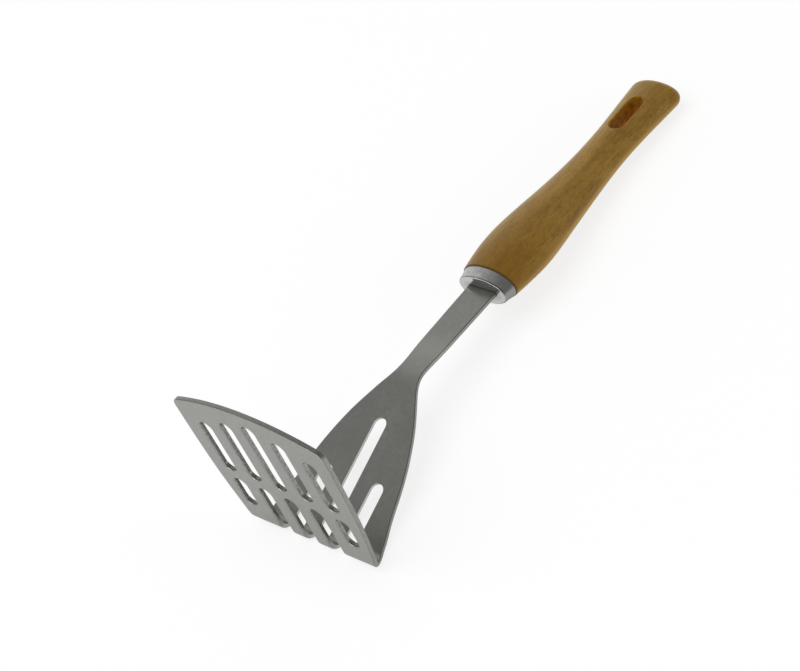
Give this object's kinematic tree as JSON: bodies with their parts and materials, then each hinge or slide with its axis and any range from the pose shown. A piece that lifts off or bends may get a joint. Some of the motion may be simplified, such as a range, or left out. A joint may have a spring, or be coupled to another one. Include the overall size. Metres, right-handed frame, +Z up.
{
  "type": "potato masher",
  "caption": "Hand potato masher: slotted, folded stainless steel head on a flat shank, set through a metal ferrule into a flattened oval beech handle with a hang hole.",
  "frame": {"origin": "on the surface that the masher lies on, under the middle of its overall length and width", "axes": "+X from the mashing plate to the handle's butt, +Y across the masher, +Z up from the surface, the way the inside of the head faces"},
  "size_m": [0.2678, 0.078, 0.0831],
  "materials": {
    "stainless_sheet": "tumbled satin, with smoothed cut edges",
    "polished_cap": "polished",
    "beech": "oiled, open short-flecked grain",
    "resin": "cured casting resin"
  },
  "bodies": {
    "root": {"masher_head": "stainless_sheet", "ferrule": "polished_cap", "handle": "beech", "tang_resin": "resin"}
  },
  "joints": []
}
